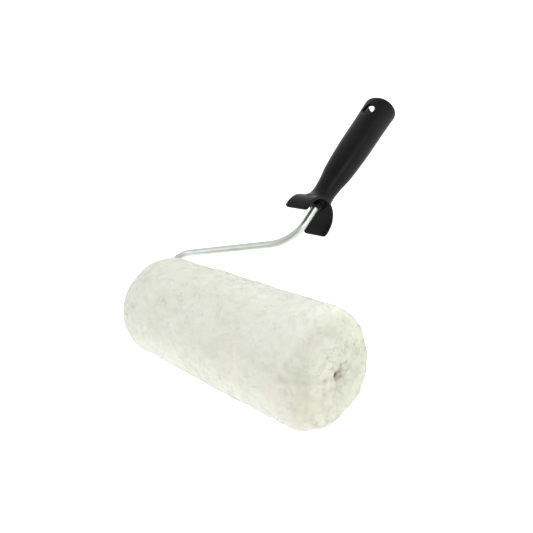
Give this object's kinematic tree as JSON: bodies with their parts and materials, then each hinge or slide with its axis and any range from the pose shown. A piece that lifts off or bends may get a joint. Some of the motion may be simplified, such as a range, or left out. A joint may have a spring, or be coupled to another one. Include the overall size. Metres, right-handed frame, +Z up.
{
  "type": "paint roller",
  "caption": "Paint roller: a deep fleece sleeve spins on a bent steel wire frame, held by a hollow plastic handle with a curved drip guard and a hang hole.",
  "frame": {"origin": "centre of the bounding box's underside: the table that the roller lies on", "axes": "+X along the roller's axle towards its free end, +Y from the axle towards the handle's butt, +Z up from the table"},
  "size_m": [0.2537, 0.3228, 0.095],
  "materials": {
    "handle_plastic": "fine moulded grain, satin",
    "zinc_wire": "bright zinc plate",
    "wool": "deep brushed wool pile",
    "knit": "knitted backing",
    "tube_plastic": "extruded",
    "hub_plastic": "moulded",
    "nylon": "natural nylon",
    "washer_steel": "stamped",
    "cap_zinc": "yellow zinc plate"
  },
  "bodies": {
    "frame": {"handle": "handle_plastic", "frame_rod": "zinc_wire", "stop_washer": "washer_steel", "end_washer": "washer_steel", "push_nut": "cap_zinc"},
    "sleeve": {"bush_rod_side": "nylon", "hub_rod_side": "hub_plastic", "core_tube": "tube_plastic", "backing": "knit", "fleece": "wool", "hub_free_end": "hub_plastic", "bush_free_end": "nylon"}
  },
  "joints": [
    {"name": "sleeve_spin", "type": "hinge", "parent": "frame", "child": "sleeve", "pos_m": [0.0114, -0.11391, 0.0475], "axis": [1, 0, 0], "continuous": true}
  ]
}
